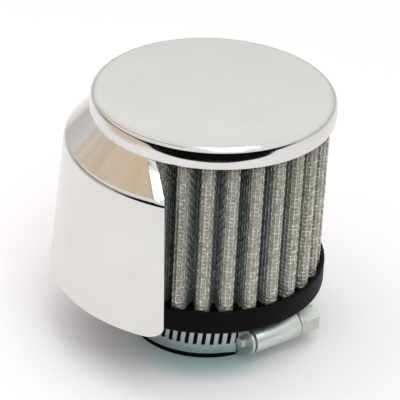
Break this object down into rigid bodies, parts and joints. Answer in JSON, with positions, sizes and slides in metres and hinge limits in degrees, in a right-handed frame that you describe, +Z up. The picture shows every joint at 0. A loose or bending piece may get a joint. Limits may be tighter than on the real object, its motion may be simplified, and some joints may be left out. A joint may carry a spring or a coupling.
{
  "type": "valve cover breather",
  "caption": "Round clamp-on crankcase breather: pleated wire gauze element, chromed cap and splash shield, black rubber base with a neck and a worm-drive clamp.",
  "frame": {"origin": "on the axis, at the mouth of the rubber neck, which is the plane that the part stands on", "axes": "+Z up along the axis from the neck to the cap, -X towards the middle of the shield"},
  "size_m": [0.0872, 0.0824, 0.0831],
  "materials": {
    "cap_chrome": "bright chrome plate on stamped steel",
    "potting_resin": "black cast polyurethane",
    "outer_wire_screen": "woven bright wire",
    "oiled_gauze": "grey cotton gauze",
    "inner_wire_screen": "woven bright wire",
    "moulded_rubber": "satin black moulded rubber",
    "shield_chrome": "bright chrome plate on formed sheet",
    "clamp_strip_steel": "bright rolled stainless strip",
    "clamp_housing_steel": "bright stamped stainless",
    "clamp_screw_zinc": "bright zinc plate"
  },
  "bodies": {
    "breather": {"top_cap": "cap_chrome", "cap_potting": "potting_resin", "outer_screen": "outer_wire_screen", "gauze_media": "oiled_gauze", "inner_screen": "inner_wire_screen", "rubber_base": "moulded_rubber", "shield": "shield_chrome", "clamp_band": "clamp_strip_steel", "clamp_housing": "clamp_housing_steel"},
    "screw": {"clamp_screw": "clamp_screw_zinc"}
  },
  "joints": [
    {"name": "screw_turn", "type": "hinge", "parent": "breather", "child": "screw", "pos_m": [0.00867, -0.02668, 0.00855], "axis": [0.9511, 0.309, 0], "continuous": true}
  ]
}
